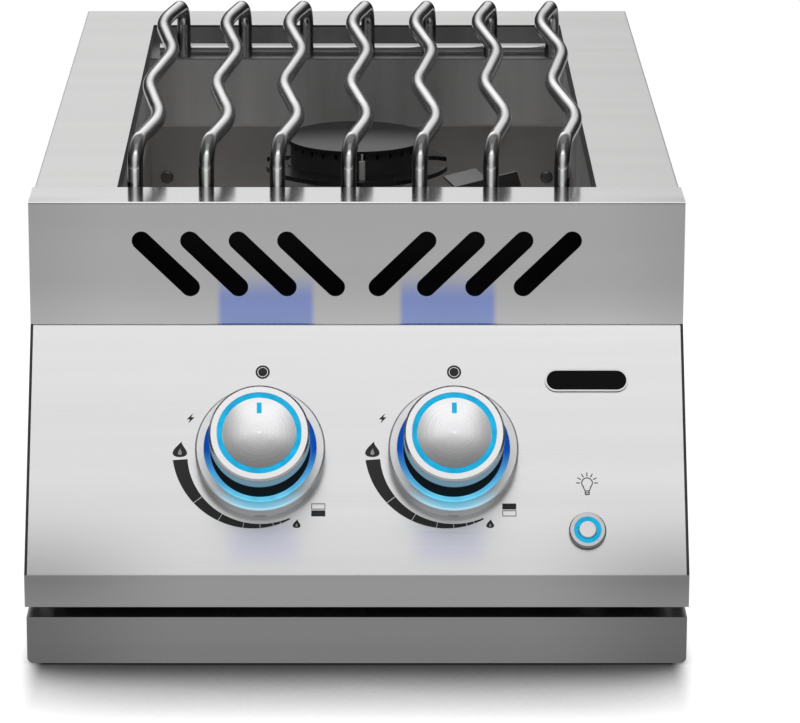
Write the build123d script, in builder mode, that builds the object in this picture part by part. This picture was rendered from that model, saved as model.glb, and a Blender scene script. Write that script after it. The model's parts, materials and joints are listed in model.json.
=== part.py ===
"""Built-in double side burner: two gas burners in line under one cooking grid.

Millimetres. X runs to the right, Y to the back and Z up. The origin is on the
floor, midway between the front lip and the rear edge of the deck.
"""

import os
from math import atan2, cos, degrees, radians, sin

from build123d import *

os.makedirs("parts", exist_ok=True)

# Outer skin
deck_w = 328.0
deck_d = 497.0
deck_z = 220.0
sheet = 1.2
bend_r = 1.0
hem_h = 12.0
hem_return = 9.0
fascia_over = 1.0
strip_d = 32.5
fascia_h = 64.0
fascia_return = 14.0
panel_out = 75.4
lip_h = 16.6
lip_gap = 6.4
lip_return = 18.0
cheek_t = 1.4

# Vent slots in the fascia
slot_n = 4
slot_w = 9.7
slot_run = 24.4
slot_rise = 24.0
slot_pitch = 24.4
slot_mid_x = 23.0

# Well under the grid
side_strip = 42.0
rear_strip = 44.0
well_flange = 10.0
ledge_drop = 11.0
front_ledge = 15.5
rear_ledge = 46.0
seam_drop = 51.0
seam_flange = 8.0
floor_drop = 92.0
drain_w = 34.0
drain_d = 62.0
pan_screw_in = 9.0
pan_screw_up = 9.0

# Casing below the deck
case_inset = 14.0
case_rear_gap = 12.0
case_flange = 12.0
base_panel_gap = 2.0
base_panel_rise = 10.0
base_window_inset = 38.0
brace_h = 18.0
vent_n = 5
vent_l = 36.0
vent_w = 6.0

# Drip tray
tray_front_in = 0.5
tray_front_h = 24.2
tray_front_back = 9.0
tray_cover = 30.0
tray_set_back = 3.0
tray_corner = 3.0
tray_clear = 0.8
tray_depth = 20.0
tray_wall = 1.0
tray_rim = 9.0
tray_rear_in = 31.0
runner_w = 20.8
runner_clear = 0.3
runner_h = 13.0
runner_leg_gap = 2.0

# Cooking grid
rod_d = 8.0
rod_n = 7
rod_margin = 13.1
rod_shift = 1.2
rod_up = 20.5
rod_bend = 12.0
wave_half = 5.4
wave_r = 150.0
wave_n = 4
wave_lead = 65.0
wave_tail = 56.0
leg_front = 40.0
leg_rear_in = 40.0
bar_d = 6.0
bar_end = 4.0
grid_clear = 0.3
weld_gap = 0.1

# Burners
front_burner_at = 138.0
rear_burner_in = 136.0
cap_drop = 36.5
cap_r = 40.0
cap_t = 3.6
cap_dome = 1.2
cap_spigot = 4.0
cap_spigot_t = 2.0
cap_seat = 0.1
head_r = 38.0
head_h = 12.5
head_wall = 7.0
port_n = 30
port_w = 1.6
port_h = 3.0
ring_r = 53.0
ring_t = 2.5
ring_notch_r = 15.0
ring_notch_in = 11.0
ring_seat = 1.5
bowl_r = 34.0
bowl_neck_r = 16.0
foot_r = 22.0
foot_t = 3.0
throat_r = 12.0
throat_wall = 2.0
throat_drop = 32.0
air_w = 10.0
air_h = 16.0
jet_r = 4.0
jet_h = 7.0
jet_body_r = 6.5
jet_body_h = 12.0
jet_stub = 16.0
fit = 0.2

# Ignition
spark_x = 3.0
spark_r = 1.75
spark_ring_r = 44.5
spark_top = 10.5
spark_tail = 8.0
spark_collar_r = 3.4
spark_collar_h = 4.0
spark_pin_r = 0.6
spark_pin_h = 4.0
lead_r = 1.2
lead_z = 106.0
lead_bend = 7.0
module_w = 62.0
module_h = 44.0
module_d = 24.0
module_in = 45.0
lead_gap = 12.0
guard_in = 68.0
guard_ahead = 73.0
guard_turn = 46.5
guard_h = 42.0
guard_l = 52.0
guard_nose = 6.0
guard_nose_drop = 14.0
guard_top_l = 27.0
guard_top_w = 21.3
guard_skew = 15.0

# Controls on the sloped panel
knob_x = 48.2
knob_s = 68.5
knob_r = 25.0
knob_front = 34.0
knob_lift = 8.0
knob_wall = 3.0
knob_top = 5.5
knob_hub_r = 7.5
knob_rim = 3.9
light_w = 2.9
inlay_t = 2.0
inlay_gap = 0.25
face_dome = 2.5
push = 3.0
bezel_r = 32.5
bezel_wall = 4.3
bezel_h = 10.0
bezel_slot_w = 5.6
bezel_slot_h = 1.5
lens_h = 7.5
lens_floor = 3.5
lens_slope = 2.4
lens_wall = 5.0
stem_r = 3.0
stem_flat = 2.0
stem_hole = 0.3
plug_r = 8.0
plug_l = 25.0
plug_clear = 0.06
plug_end = 0.2
bonnet_t = 8.0
valve_set = 12.0
valve_r = 13.0
valve_back = 4.0
stem_in_plug = 8.0
spindle_run = 0.08

# Gas feed
manifold_r = 10.5
manifold_down = 26.0
manifold_end = 27.0
saddle_r = 7.0
saddle_gap = 0.15
feed_r = 7.0
feed_in = 30.0
feed_bend = 22.0
tube_r = 4.0
tube_bend = 15.0
tube_first = 18.0
tube_slant = 42.0
tube_last = 30.0
hole_gap = 1.0
flare_r = 7.94
flare_l = 17.4
flare_relief = 1.6
flare_collar_r = 10.0
flare_bore = 5.0
nut_flat = 24.0
nut_l = 9.0

# Push button for the lights
button_in = 49.2
button_s = 108.9
button_bezel_r = 9.3
button_bezel_h = 2.5
button_barrel_r = 8.0
button_barrel_l = 22.0
button_ring_out = 6.85
button_ring_in = 4.7
button_ring_deep = 1.6
button_plunger_r = 4.4
button_plunger_l = 9.0
button_proud = 0.8
button_press = 2.0
button_run = 0.15
nut_af = 21.0
nut_t = 4.0

# Power socket and screws
jack_in = 38.0
jack_z = 58.0
jack_r = 5.5
jack_flange_r = 9.0
jack_l = 14.0
screw_head_r = 3.7
screw_head_h = 2.2
screw_r = 1.9
screw_l = 6.0
rear_screw_in = 6.0

# Planes and levels that follow from the sizes above
front_w = deck_w + 2 * fascia_over
well_w = deck_w - 2 * side_strip
case_w = deck_w - 2 * case_inset
front_y = -(deck_d - panel_out) / 2
fascia_z = deck_z - fascia_h
lip_bottom = tray_clear + tray_front_h + lip_gap
lip_z = lip_bottom + lip_h
panel_drop = fascia_z - lip_z
ledge_z = deck_z - ledge_drop
seam_z = deck_z - seam_drop
floor_z = deck_z - floor_drop
case_rear = deck_d - case_rear_gap
well_rear = deck_d - rear_strip
tray_rear = deck_d - tray_rear_in
leg_rear = well_rear - leg_rear_in
rear_burner_at = well_rear - rear_burner_in
base_panel_z = tray_clear + tray_front_h + base_panel_gap
shield_back = strip_d + sheet
tilt = atan2(panel_out, panel_drop)
well_low_front = strip_d + front_ledge
well_low_rear = well_rear - rear_ledge
inner_w = case_w - 2 * sheet
tray_w = inner_w - 2 * (runner_w + runner_leg_gap)
tray_front_w = front_w - 2 * tray_front_in
pan_screw_x = well_w / 2 - pan_screw_in
button_x = deck_w / 2 - button_in
module_x = module_in - case_w / 2
feed_x = case_w / 2 - feed_in
jack_x = jack_in - case_w / 2
plug_w = -valve_set - bonnet_t
valve_end = plug_w - plug_l - valve_back - 2 * plug_end
manifold_w = plug_w - plug_l / 2
stem_back = plug_w - plug_end - stem_in_plug - push
axis_out = Vector(0, -cos(tilt), sin(tilt))
axis_down = Vector(0, -sin(tilt), -cos(tilt))


def at(d, z):
    """Point of the side view, d behind the fascia and z over the floor."""
    return (front_y + d, z)


def mid(d0, d1):
    """Y halfway between two distances behind the fascia."""
    return front_y + (d0 + d1) / 2


def save(piece, label):
    """Names a finished piece and writes it."""
    piece.part.label = label
    export_step(piece.part, f"parts/{label}.step")


def folded(points):
    """Section of a folded sheet in the side view, with its outer line given."""
    with BuildSketch(Plane.YZ) as section:
        with BuildLine():
            outer = Polyline(*points)
            offset(outer, amount=sheet, side=Side.LEFT, kind=Kind.INTERSECTION)
        make_face()
    return section.sketch


def panel_plane(x, s, w=0.0):
    """Plane on the sloped panel, s below its top edge and w in front of it."""
    foot = Vector(x, front_y, fascia_z) + axis_down * s + axis_out * w
    return Plane(origin=foot, x_dir=(1, 0, 0), z_dir=axis_out)


def floor_plane(x, d, z):
    """Level plane over the floor, d behind the fascia."""
    return Plane(origin=(x, front_y + d, z))


def tube_path(points, radius):
    """Straight runs joined by tangent arcs, from points (x, d, z)."""
    with BuildLine() as path:
        FilletPolyline(*[(x, front_y + d, z) for x, d, z in points], radius=radius)
    return path.wire()


# Deck: top sheet with the well opening, hemmed at the sides and the back
with BuildPart() as deck:
    with BuildSketch(Plane.XY.offset(deck_z)):
        with Locations((0, mid(strip_d, deck_d))):
            Rectangle(deck_w, deck_d - strip_d)
        with Locations((0, mid(strip_d, well_rear))):
            Rectangle(well_w, well_rear - strip_d, mode=Mode.SUBTRACT)
    extrude(amount=-sheet)
    with BuildSketch(Plane.XY.offset(deck_z)):
        with Locations((0, mid(strip_d, deck_d))):
            Rectangle(deck_w, deck_d - strip_d)
        with Locations((0, mid(strip_d, deck_d) - sheet)):
            Rectangle(deck_w - 2 * sheet, deck_d - strip_d, mode=Mode.SUBTRACT)
    extrude(amount=-hem_h)
    with BuildSketch(Plane.XY.offset(deck_z - hem_h)):
        with Locations((0, mid(shield_back + hole_gap, deck_d))):
            Rectangle(deck_w, deck_d - shield_back - hole_gap)
        with Locations((0, mid(strip_d, deck_d) - hem_return)):
            Rectangle(deck_w - 2 * hem_return, deck_d - strip_d, mode=Mode.SUBTRACT)
    extrude(amount=sheet)
    rim = deck.faces().sort_by(Axis.Z)[-1].outer_wire().edges()
    side_rim = rim.filter_by(Axis.Y).sort_by(Axis.X)
    fillet([side_rim[0], side_rim[-1], rim.sort_by(Axis.Y)[-1]], bend_r)
save(deck, "deck")

# Well frame: flange under the deck, ledges that carry the grid, upper walls
with BuildPart() as well_frame:
    with BuildSketch(Plane.XY.offset(deck_z - sheet)):
        with Locations((0, mid(strip_d, well_rear))):
            Rectangle(well_w + 2 * well_flange, well_rear - strip_d + 2 * well_flange)
            Rectangle(well_w, well_rear - strip_d, mode=Mode.SUBTRACT)
    extrude(amount=-sheet)
    with BuildSketch(Plane.XY.offset(deck_z - sheet)):
        with Locations((0, mid(strip_d, well_rear))):
            Rectangle(well_w + 2 * sheet, well_rear - strip_d + 2 * sheet)
            Rectangle(well_w, well_rear - strip_d, mode=Mode.SUBTRACT)
    extrude(amount=sheet - ledge_drop)
    with BuildSketch(Plane.XY.offset(ledge_z)):
        with Locations((0, mid(strip_d, well_rear))):
            Rectangle(well_w + 2 * sheet, well_rear - strip_d + 2 * sheet)
        with Locations((0, mid(well_low_front, well_low_rear))):
            Rectangle(well_w, well_low_rear - well_low_front, mode=Mode.SUBTRACT)
    extrude(amount=-sheet)
    with BuildSketch(Plane.XY.offset(ledge_z)):
        with Locations((0, mid(well_low_front, well_low_rear))):
            Rectangle(well_w + 2 * sheet, well_low_rear - well_low_front + 2 * sheet)
            Rectangle(well_w, well_low_rear - well_low_front, mode=Mode.SUBTRACT)
    extrude(amount=seam_z - ledge_z)
    with BuildSketch(Plane.XY.offset(seam_z)):
        with Locations((0, mid(well_low_front, well_low_rear))):
            Rectangle(
                well_w + 2 * seam_flange,
                well_low_rear - well_low_front + 2 * seam_flange,
            )
            Rectangle(well_w, well_low_rear - well_low_front, mode=Mode.SUBTRACT)
    extrude(amount=sheet)
save(well_frame, "well_frame")

# Burner pan: lower walls and floor, with burner, electrode and drain openings
with BuildPart() as burner_pan:
    with BuildSketch(Plane.XY.offset(seam_z)):
        with Locations((0, mid(well_low_front, well_low_rear))):
            Rectangle(
                well_w + 2 * seam_flange,
                well_low_rear - well_low_front + 2 * seam_flange,
            )
            Rectangle(well_w, well_low_rear - well_low_front, mode=Mode.SUBTRACT)
    extrude(amount=-sheet)
    with BuildSketch(Plane.XY.offset(seam_z)):
        with Locations((0, mid(well_low_front, well_low_rear))):
            Rectangle(well_w + 2 * sheet, well_low_rear - well_low_front + 2 * sheet)
            Rectangle(well_w, well_low_rear - well_low_front, mode=Mode.SUBTRACT)
    extrude(amount=floor_z - seam_z)
    with BuildSketch(Plane.XY.offset(floor_z)):
        with Locations((0, mid(well_low_front, well_low_rear))):
            Rectangle(well_w + 2 * sheet, well_low_rear - well_low_front + 2 * sheet)
        with Locations((0, front_y + front_burner_at), (0, front_y + rear_burner_at)):
            Circle(throat_r + fit, mode=Mode.SUBTRACT)
        with Locations(
            (spark_x, front_y + front_burner_at - spark_ring_r),
            (spark_x, front_y + rear_burner_at - spark_ring_r),
        ):
            Circle(spark_r + hole_gap, mode=Mode.SUBTRACT)
        with Locations((0, mid(front_burner_at, rear_burner_at))):
            SlotOverall(drain_d, drain_w, mode=Mode.SUBTRACT)
    extrude(amount=-sheet)
    with BuildSketch(Plane.XZ.offset(-(front_y + well_low_rear))):
        with Locations(
            (-pan_screw_x, floor_z + pan_screw_up), (pan_screw_x, floor_z + pan_screw_up)
        ):
            Circle(screw_r + fit)
    extrude(amount=-2 * sheet, mode=Mode.SUBTRACT)
save(burner_pan, "burner_pan")

# Front fascia: top strip and slotted face in one fold, with end returns
fascia_points = [
    at(strip_d, deck_z),
    at(0, deck_z),
    at(0, fascia_z),
    at(fascia_return, fascia_z),
]
with BuildPart() as front_fascia:
    extrude(folded(fascia_points), amount=front_w / 2, both=True)
    for x in (-front_w / 2, front_w / 2 - sheet):
        with BuildSketch(Plane.YZ.offset(x)):
            with Locations(at(strip_d / 2, deck_z - fascia_h / 2)):
                Rectangle(strip_d, fascia_h)
        extrude(amount=sheet)
    fillet(front_fascia.edges().filter_by(Axis.X).group_by(Axis.Y)[0], bend_r)
    with BuildSketch(Plane.XZ.offset(-front_y)):
        for side in (-1, 1):
            for i in range(slot_n):
                top = side * (slot_mid_x + (i + 0.5) * slot_pitch)
                foot = top - side * slot_run
                with Locations(((top + foot) / 2, deck_z - fascia_h / 2)):
                    with Locations(Rotation(0, 0, side * degrees(atan2(slot_rise, slot_run)))):
                        SlotCenterToCenter((slot_run**2 + slot_rise**2) ** 0.5, slot_w)
    extrude(amount=-2 * sheet, mode=Mode.SUBTRACT)
save(front_fascia, "front_fascia")

# Control panel: sloped face between the cheeks, full-width lip and return
panel_points = [
    at(fascia_return, fascia_z),
    at(0, fascia_z),
    at(-panel_out, lip_z),
    at(-panel_out, lip_bottom),
    at(lip_return - panel_out, lip_bottom),
]
knobs = {"left": -knob_x, "right": knob_x}
with BuildPart() as control_panel:
    extrude(folded(panel_points), amount=front_w / 2 - cheek_t, both=True)
    with BuildSketch(Plane.XZ.offset(panel_out - front_y)):
        with Locations((0, lip_bottom + lip_h / 2)):
            Rectangle(front_w, lip_h)
    extrude(amount=-sheet)
    for x in knobs.values():
        with BuildSketch(panel_plane(x, knob_s, sheet)):
            Circle(stem_r + 2 * hole_gap)
        extrude(amount=-4 * sheet, mode=Mode.SUBTRACT)
    with BuildSketch(panel_plane(button_x, button_s, sheet)):
        Circle(button_barrel_r + fit)
    extrude(amount=-4 * sheet, mode=Mode.SUBTRACT)
save(control_panel, "control_panel")

# Cheeks: dark end plates of the control housing, flush with its slope
cheek_points = [
    at(shield_back, fascia_z),
    at(0, fascia_z),
    at(-panel_out, lip_z),
    at(sheet - panel_out, lip_z),
    at(sheet - panel_out, lip_bottom),
    at(shield_back, lip_bottom),
]
for label, x in (("left_cheek", -front_w / 2), ("right_cheek", front_w / 2 - cheek_t)):
    with BuildPart() as cheek:
        with BuildSketch(Plane.YZ.offset(x)):
            with BuildLine():
                Polyline(*cheek_points, close=True)
            make_face()
        extrude(amount=cheek_t)
    save(cheek, label)

# Heat shield: closes the control housing at the back, under the front ledge
tube_z = panel_plane(0, knob_s, valve_end - tube_first).origin.Z
pipe = panel_plane(0, knob_s + manifold_down, manifold_w).origin
with BuildPart() as heat_shield:
    with BuildSketch(Plane.XZ.offset(-(front_y + strip_d))):
        with Locations((0, (ledge_z - sheet + lip_bottom) / 2)):
            Rectangle(deck_w - 2 * (sheet + fit), ledge_z - sheet - lip_bottom)
        with Locations((-knob_x, tube_z), (knob_x, tube_z)):
            Circle(tube_r + hole_gap, mode=Mode.SUBTRACT)
        with Locations((feed_x, pipe.Z)):
            Circle(feed_r + hole_gap, mode=Mode.SUBTRACT)
        with Locations((module_x - lead_gap / 2, lead_z), (module_x + lead_gap / 2, lead_z)):
            Circle(lead_r + hole_gap, mode=Mode.SUBTRACT)
    extrude(amount=-sheet)
save(heat_shield, "heat_shield")

# Side panels: folded sheets that stand on the floor and carry the deck
for label, side in (("left_side_panel", -1), ("right_side_panel", 1)):
    with BuildPart() as side_panel:
        with BuildSketch(Plane.YZ.offset(side * case_w / 2)):
            with Locations(at((shield_back + case_rear - sheet) / 2, (deck_z - sheet) / 2)):
                Rectangle(case_rear - sheet - shield_back, deck_z - sheet)
        extrude(amount=-side * sheet)
        for z in (0, deck_z - 2 * sheet):
            with BuildSketch(Plane.XY.offset(z)):
                with Locations(
                    (
                        side * (case_w - case_flange) / 2,
                        mid(shield_back, case_rear - sheet),
                    )
                ):
                    Rectangle(case_flange, case_rear - sheet - shield_back)
            extrude(amount=sheet)
        with BuildSketch(Plane.XZ.offset(-(front_y + case_rear - 2 * sheet))):
            with Locations((side * (case_w - case_flange) / 2, (deck_z - sheet) / 2)):
                Rectangle(case_flange, deck_z - sheet)
        extrude(amount=-sheet)
    save(side_panel, label)

# Rear panel: vented sheet with the gas and power openings
rear_screws = [
    (side * (case_w / 2 - rear_screw_in), z)
    for side in (-1, 1)
    for z in (base_panel_z, deck_z / 2, deck_z - base_panel_z)
]
with BuildPart() as rear_panel:
    with BuildSketch(Plane.XZ.offset(-(front_y + case_rear - sheet))):
        with Locations((0, (deck_z - sheet) / 2)):
            Rectangle(case_w, deck_z - sheet)
        with Locations((0, (seam_z + ledge_z) / 2)):
            with GridLocations(vent_l * 1.3, vent_w * 2.4, vent_n, 2):
                SlotOverall(vent_l, vent_w, mode=Mode.SUBTRACT)
        with Locations((feed_x, pipe.Z)):
            Circle(flare_collar_r + fit, mode=Mode.SUBTRACT)
        with Locations((jack_x, jack_z)):
            Circle(jack_r + fit, mode=Mode.SUBTRACT)
    extrude(amount=-sheet)
save(rear_panel, "rear_panel")

# Rear brace: channel from the back wall of the pan to the rear panel
brace_points = [
    at(well_low_rear + sheet, floor_z + brace_h),
    at(well_low_rear + sheet, floor_z),
    at(case_rear - 2 * sheet, floor_z),
    at(case_rear - 2 * sheet, floor_z + brace_h),
]
with BuildPart() as rear_brace:
    extrude(folded(brace_points), amount=inner_w / 2 - case_flange, both=True)
    with BuildSketch(Plane.XZ.offset(-(front_y + well_low_rear))):
        with Locations(
            (-pan_screw_x, floor_z + pan_screw_up), (pan_screw_x, floor_z + pan_screw_up)
        ):
            Circle(screw_r + fit)
    extrude(amount=-3 * sheet, mode=Mode.SUBTRACT)
    with BuildSketch(Plane.XZ.offset(-(front_y + case_rear - 2 * sheet))):
        with Locations((0, floor_z + brace_h / 2)):
            Rectangle(inner_w - 2 * case_flange, brace_h)
    extrude(amount=-sheet)
save(rear_brace, "rear_brace")

# Bottom panel: frame over the drip tray with a window for what drips down
with BuildPart() as bottom_panel:
    with BuildSketch(Plane.XY.offset(base_panel_z)):
        with Locations((0, mid(shield_back, case_rear - 2 * sheet))):
            Rectangle(inner_w, case_rear - 2 * sheet - shield_back)
            Rectangle(
                inner_w - 2 * base_window_inset,
                case_rear - 2 * sheet - shield_back - 2 * base_window_inset,
                mode=Mode.SUBTRACT,
            )
    extrude(amount=sheet)
    with BuildSketch(Plane.XY.offset(base_panel_z)):
        with Locations((0, mid(shield_back, case_rear - 2 * sheet))):
            Rectangle(inner_w, case_rear - 2 * sheet - shield_back)
            Rectangle(
                inner_w - 2 * sheet, case_rear - 4 * sheet - shield_back, mode=Mode.SUBTRACT
            )
    extrude(amount=base_panel_rise)
save(bottom_panel, "bottom_panel")

# Drip tray: shallow pan hung by its rims from two runners, and its front
tray_start = tray_set_back - panel_out + sheet
tray_top = tray_clear + tray_front_h - sheet
with BuildPart() as drip_tray_pan:
    with BuildSketch(Plane.XY.offset(tray_top)):
        with Locations((0, mid(tray_start, tray_rear))):
            RectangleRounded(tray_w, tray_rear - tray_start, tray_corner)
    extrude(amount=-tray_depth)
    with BuildSketch(Plane.XY.offset(tray_top)):
        with Locations((0, mid(tray_start, tray_rear))):
            RectangleRounded(
                tray_w - 2 * tray_wall, tray_rear - tray_start - 2 * tray_wall, tray_corner - tray_wall
            )
    extrude(amount=tray_wall - tray_depth, mode=Mode.SUBTRACT)
    with BuildSketch(Plane.XY.offset(tray_top)):
        with Locations((0, mid(tray_start, tray_rear))):
            Rectangle(tray_w + 2 * tray_rim, tray_rear - tray_start)
            RectangleRounded(
                tray_w - 2 * tray_wall,
                tray_rear - tray_start - 2 * tray_wall,
                tray_corner - tray_wall,
                mode=Mode.SUBTRACT,
            )
    extrude(amount=-tray_wall)
save(drip_tray_pan, "drip_tray_pan")

with BuildPart() as drip_tray_front:
    with BuildSketch(Plane.XZ.offset(panel_out - tray_set_back - front_y)) as tray_outline:
        with Locations((0, tray_clear + tray_front_h / 2)):
            Rectangle(tray_front_w, tray_front_h)
        fillet(tray_outline.vertices().group_by(Axis.Z)[0], tray_corner)
    extrude(amount=-sheet)
    for x in (-tray_front_w / 2, tray_front_w / 2 - sheet):
        with BuildSketch(Plane.YZ.offset(x)):
            with Locations(
                at(
                    tray_set_back - panel_out + tray_front_back / 2,
                    tray_clear + (tray_front_h + tray_corner) / 2,
                )
            ):
                Rectangle(tray_front_back, tray_front_h - tray_corner)
        extrude(amount=sheet)
    with BuildSketch(Plane.XY.offset(tray_clear + tray_front_h)):
        with Locations((0, mid(tray_start - sheet, tray_start - sheet + tray_cover))):
            Rectangle(tray_front_w, tray_cover)
    extrude(amount=-sheet)
save(drip_tray_front, "drip_tray_front")

for label, side in (("left_tray_runner", -1), ("right_tray_runner", 1)):
    runner_top = tray_top - tray_wall - runner_clear
    with BuildPart() as runner:
        with BuildSketch(Plane.YZ.offset(side * inner_w / 2)):
            with Locations(at((shield_back + case_rear - 2 * sheet) / 2, runner_top - runner_h / 2)):
                Rectangle(case_rear - 2 * sheet - shield_back, runner_h)
        extrude(amount=-side * sheet)
        with BuildSketch(Plane.XY.offset(runner_top)):
            with Locations(
                (side * (inner_w - runner_w) / 2, mid(shield_back, case_rear - 2 * sheet))
            ):
                Rectangle(runner_w, case_rear - 2 * sheet - shield_back)
        extrude(amount=-sheet)
    save(runner, label)

# Cooking grid: wavy rods with bent legs, welded to two crossbars
grid_z = deck_z + rod_up
leg_z = ledge_z + grid_clear
wave_first = leg_front + wave_lead
wave_step = (leg_rear - wave_tail - wave_first) / (wave_n - 1)
rod_points = [(-wave_half, leg_front, leg_z), (-wave_half, leg_front, grid_z)]
for i in range(wave_n):
    rod_points.append((wave_half * (-1) ** i, wave_first + i * wave_step, grid_z))
rod_points += [(wave_half, leg_rear, grid_z), (wave_half, leg_rear, leg_z)]
rod_radii = [rod_bend] + [wave_r] * wave_n + [rod_bend]
with BuildPart() as wavy_rod:
    with BuildLine() as rod_line:
        FilletPolyline(*[(x, front_y + d, z) for x, d, z in rod_points], radius=rod_radii)
    with BuildSketch(Plane(origin=rod_line.line @ 0, z_dir=rod_line.line % 0)):
        Circle(rod_d / 2)
    sweep()
rod_pitch = (well_w - 2 * rod_margin) / (rod_n - 1)
bar_w = well_w - 2 * bar_end
with BuildPart() as grid_rods:
    with Locations(*[(rod_shift + (i - (rod_n - 1) / 2) * rod_pitch, 0, 0) for i in range(rod_n)]):
        add(wavy_rod.part)
save(grid_rods, "grid_rods")

with BuildPart() as grid_crossbars:
    for leg_at in (leg_front, leg_rear):
        bar_at = leg_at + (rod_d + bar_d) / 2 + weld_gap
        with BuildSketch(Plane.YZ.offset(rod_shift - bar_w / 2)):
            with Locations(at(bar_at, leg_z + bar_d / 2)):
                Circle(bar_d / 2)
        extrude(amount=bar_w)
save(grid_crossbars, "grid_crossbars")

# Burners: base with throat and ring, ported head, loose cap, electrode, jet
cap_top = deck_z - cap_drop
head_top = cap_top - cap_t - cap_seat
ring_z = head_top - head_h
throat_z = floor_z - throat_drop
burners = {"front": front_burner_at, "rear": rear_burner_at}
for name, where in burners.items():
    centre = Plane(
        origin=(0, front_y + where, 0), x_dir=(1, 0, 0), z_dir=(0, -1, 0)
    )
    with BuildPart() as base:
        with BuildSketch(centre):
            with BuildLine():
                Polyline(
                    (throat_r - throat_wall, throat_z),
                    (throat_r, throat_z),
                    (throat_r, floor_z),
                    (foot_r, floor_z),
                    (foot_r, floor_z + foot_t),
                    (bowl_neck_r, floor_z + foot_t),
                    (bowl_r, ring_z - ring_t),
                    (ring_r, ring_z - ring_t),
                    (ring_r, ring_z),
                    (head_r - head_wall, ring_z),
                    (throat_r - throat_wall, floor_z + foot_t),
                    close=True,
                )
            make_face()
        revolve(axis=Axis((0, front_y + where, 0), (0, 0, 1)))
        with BuildSketch(floor_plane(0, where, throat_z)):
            Circle(throat_r)
            Circle(jet_r + fit, mode=Mode.SUBTRACT)
        extrude(amount=throat_wall)
        with BuildSketch(Plane.YZ.offset(-2 * throat_r)):
            with Locations(at(where, throat_z + throat_wall + air_h / 2)):
                SlotOverall(air_h, air_w, rotation=90)
        extrude(amount=4 * throat_r, mode=Mode.SUBTRACT)
        with BuildSketch(floor_plane(0, where, ring_z)):
            with Locations((ring_notch_in - ring_r, 0), (ring_r - ring_notch_in, 0)):
                Circle(ring_notch_r)
            Circle(head_r + ring_seat, mode=Mode.SUBTRACT)
        extrude(amount=-ring_t, mode=Mode.SUBTRACT)
        with BuildSketch(floor_plane(spark_x, where - spark_ring_r, ring_z)):
            Circle(spark_r + fit)
        extrude(amount=-ring_t, mode=Mode.SUBTRACT)
    save(base, f"{name}_burner_base")

    with BuildPart() as head:
        with BuildSketch(floor_plane(0, where, ring_z)):
            Circle(head_r)
            Circle(head_r - head_wall, mode=Mode.SUBTRACT)
        extrude(amount=head_h)
        with BuildSketch(floor_plane(0, where, head_top)):
            with PolarLocations(head_r - head_wall / 2, port_n):
                Rectangle(2 * head_wall, port_w)
        extrude(amount=-port_h, mode=Mode.SUBTRACT)
    save(head, f"{name}_burner_head")

    with BuildPart() as cap:
        with BuildSketch(centre):
            with BuildLine():
                spigot_r = head_r - head_wall - 2 * fit
                Polyline(
                    (0, cap_top - cap_t + cap_dome),
                    (spigot_r - cap_spigot_t, cap_top - cap_t + cap_dome),
                    (spigot_r - cap_spigot_t, cap_top - cap_t - cap_spigot),
                    (spigot_r, cap_top - cap_t - cap_spigot),
                    (spigot_r, cap_top - cap_t),
                    (cap_r, cap_top - cap_t),
                    (cap_r, cap_top - cap_dome),
                )
                TangentArc((0, cap_top), (cap_r, cap_top - cap_dome), tangent=(1, 0))
                Line((0, cap_top), (0, cap_top - cap_t + cap_dome))
            make_face()
        revolve(axis=Axis((0, front_y + where, 0), (0, 0, 1)))
    save(cap, f"{name}_burner_cap")

    with BuildPart() as electrode:
        with BuildSketch(floor_plane(spark_x, where - spark_ring_r, floor_z - spark_tail)):
            Circle(spark_r)
        extrude(amount=ring_z + spark_top - floor_z + spark_tail)
        with BuildSketch(floor_plane(spark_x, where - spark_ring_r, ring_z - ring_t)):
            Circle(spark_collar_r)
        extrude(amount=-spark_collar_h)
        with BuildSketch(floor_plane(spark_x, where - spark_ring_r, ring_z + spark_top)):
            Circle(spark_pin_r)
        extrude(amount=spark_pin_h)
    save(electrode, f"{name}_electrode")

    with BuildPart() as orifice:
        with BuildSketch(floor_plane(0, where, throat_z)):
            RegularPolygon(jet_body_r, 6, major_radius=False)
        extrude(amount=-jet_body_h)
        with BuildSketch(floor_plane(0, where, throat_z)):
            Circle(jet_r)
        extrude(amount=jet_h)
        fillet(orifice.edges().group_by(Axis.Z)[-1], jet_r / 3)
        jet_z = throat_z - jet_body_h / 2
        with BuildSketch(Plane.XZ.offset(jet_stub - front_y - where)):
            with Locations((0, jet_z)):
                Circle(tube_r + sheet)
        extrude(amount=-jet_stub)
    save(orifice, f"{name}_orifice")

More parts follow.
